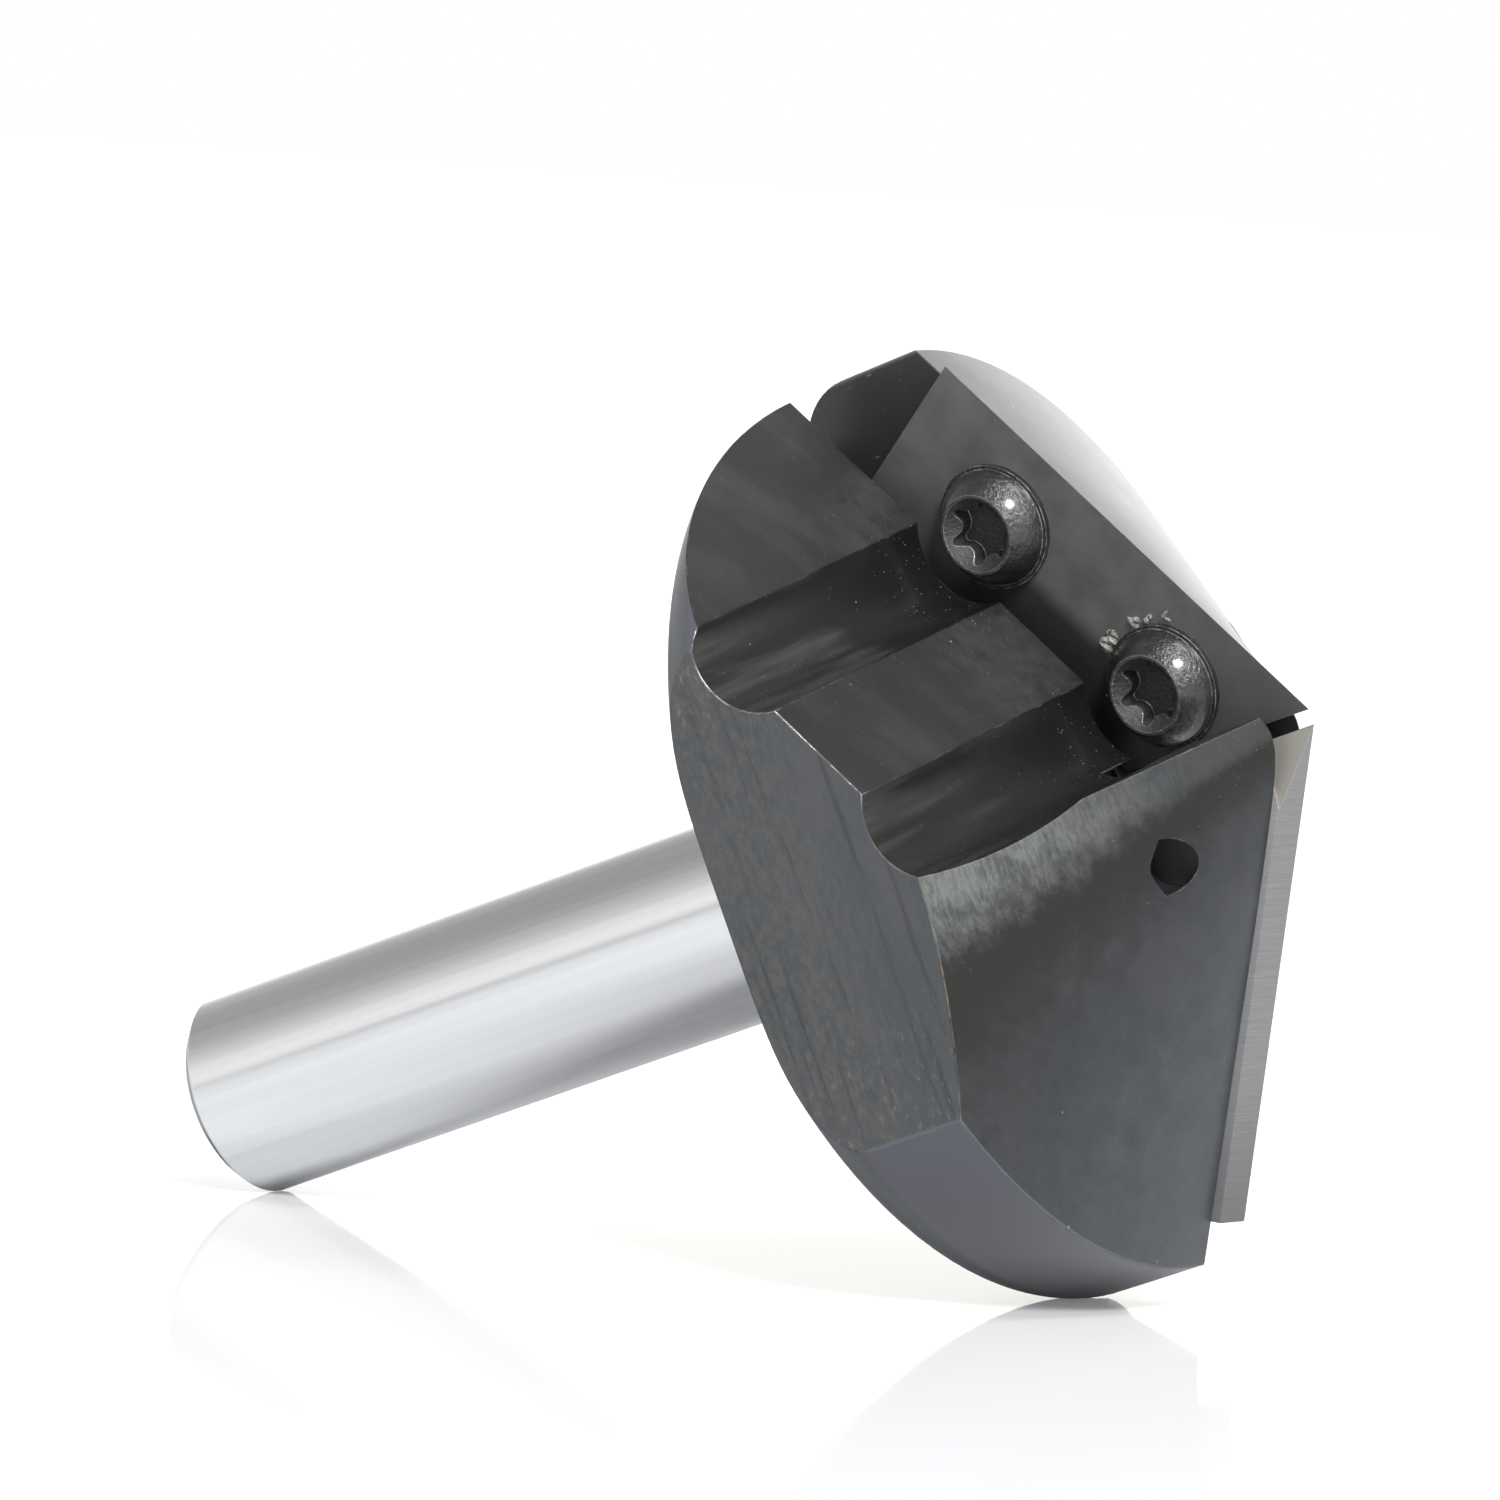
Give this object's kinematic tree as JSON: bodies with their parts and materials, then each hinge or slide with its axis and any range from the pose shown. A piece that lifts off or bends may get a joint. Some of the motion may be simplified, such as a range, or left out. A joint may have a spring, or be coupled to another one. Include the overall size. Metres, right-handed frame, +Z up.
{
  "type": "v-groove router bit",
  "caption": "V-groove router bit with a straight shank and a cone-shaped head that carries bolted-on insert knives.",
  "frame": {"origin": "on the surface it lies on, under the middle of the whole tool's box", "axes": "+Z up as it lies, +X from the shank end towards the cutting tips, level, and +Y to the left of that"},
  "size_m": [0.0742, 0.051, 0.0545],
  "materials": {
    "blackened_steel": "satin black oxide on the head, with the shank ground bright",
    "ground_carbide": "finely ground",
    "black_screw_steel": "oiled black oxide"
  },
  "bodies": {
    "root": {"cutter_body": "blackened_steel", "insert_knife_1": "ground_carbide", "insert_knife_2": "ground_carbide", "knife_1_tip_screw": "black_screw_steel", "knife_1_rim_screw": "black_screw_steel", "knife_2_tip_screw": "black_screw_steel", "knife_2_rim_screw": "black_screw_steel"}
  },
  "joints": []
}
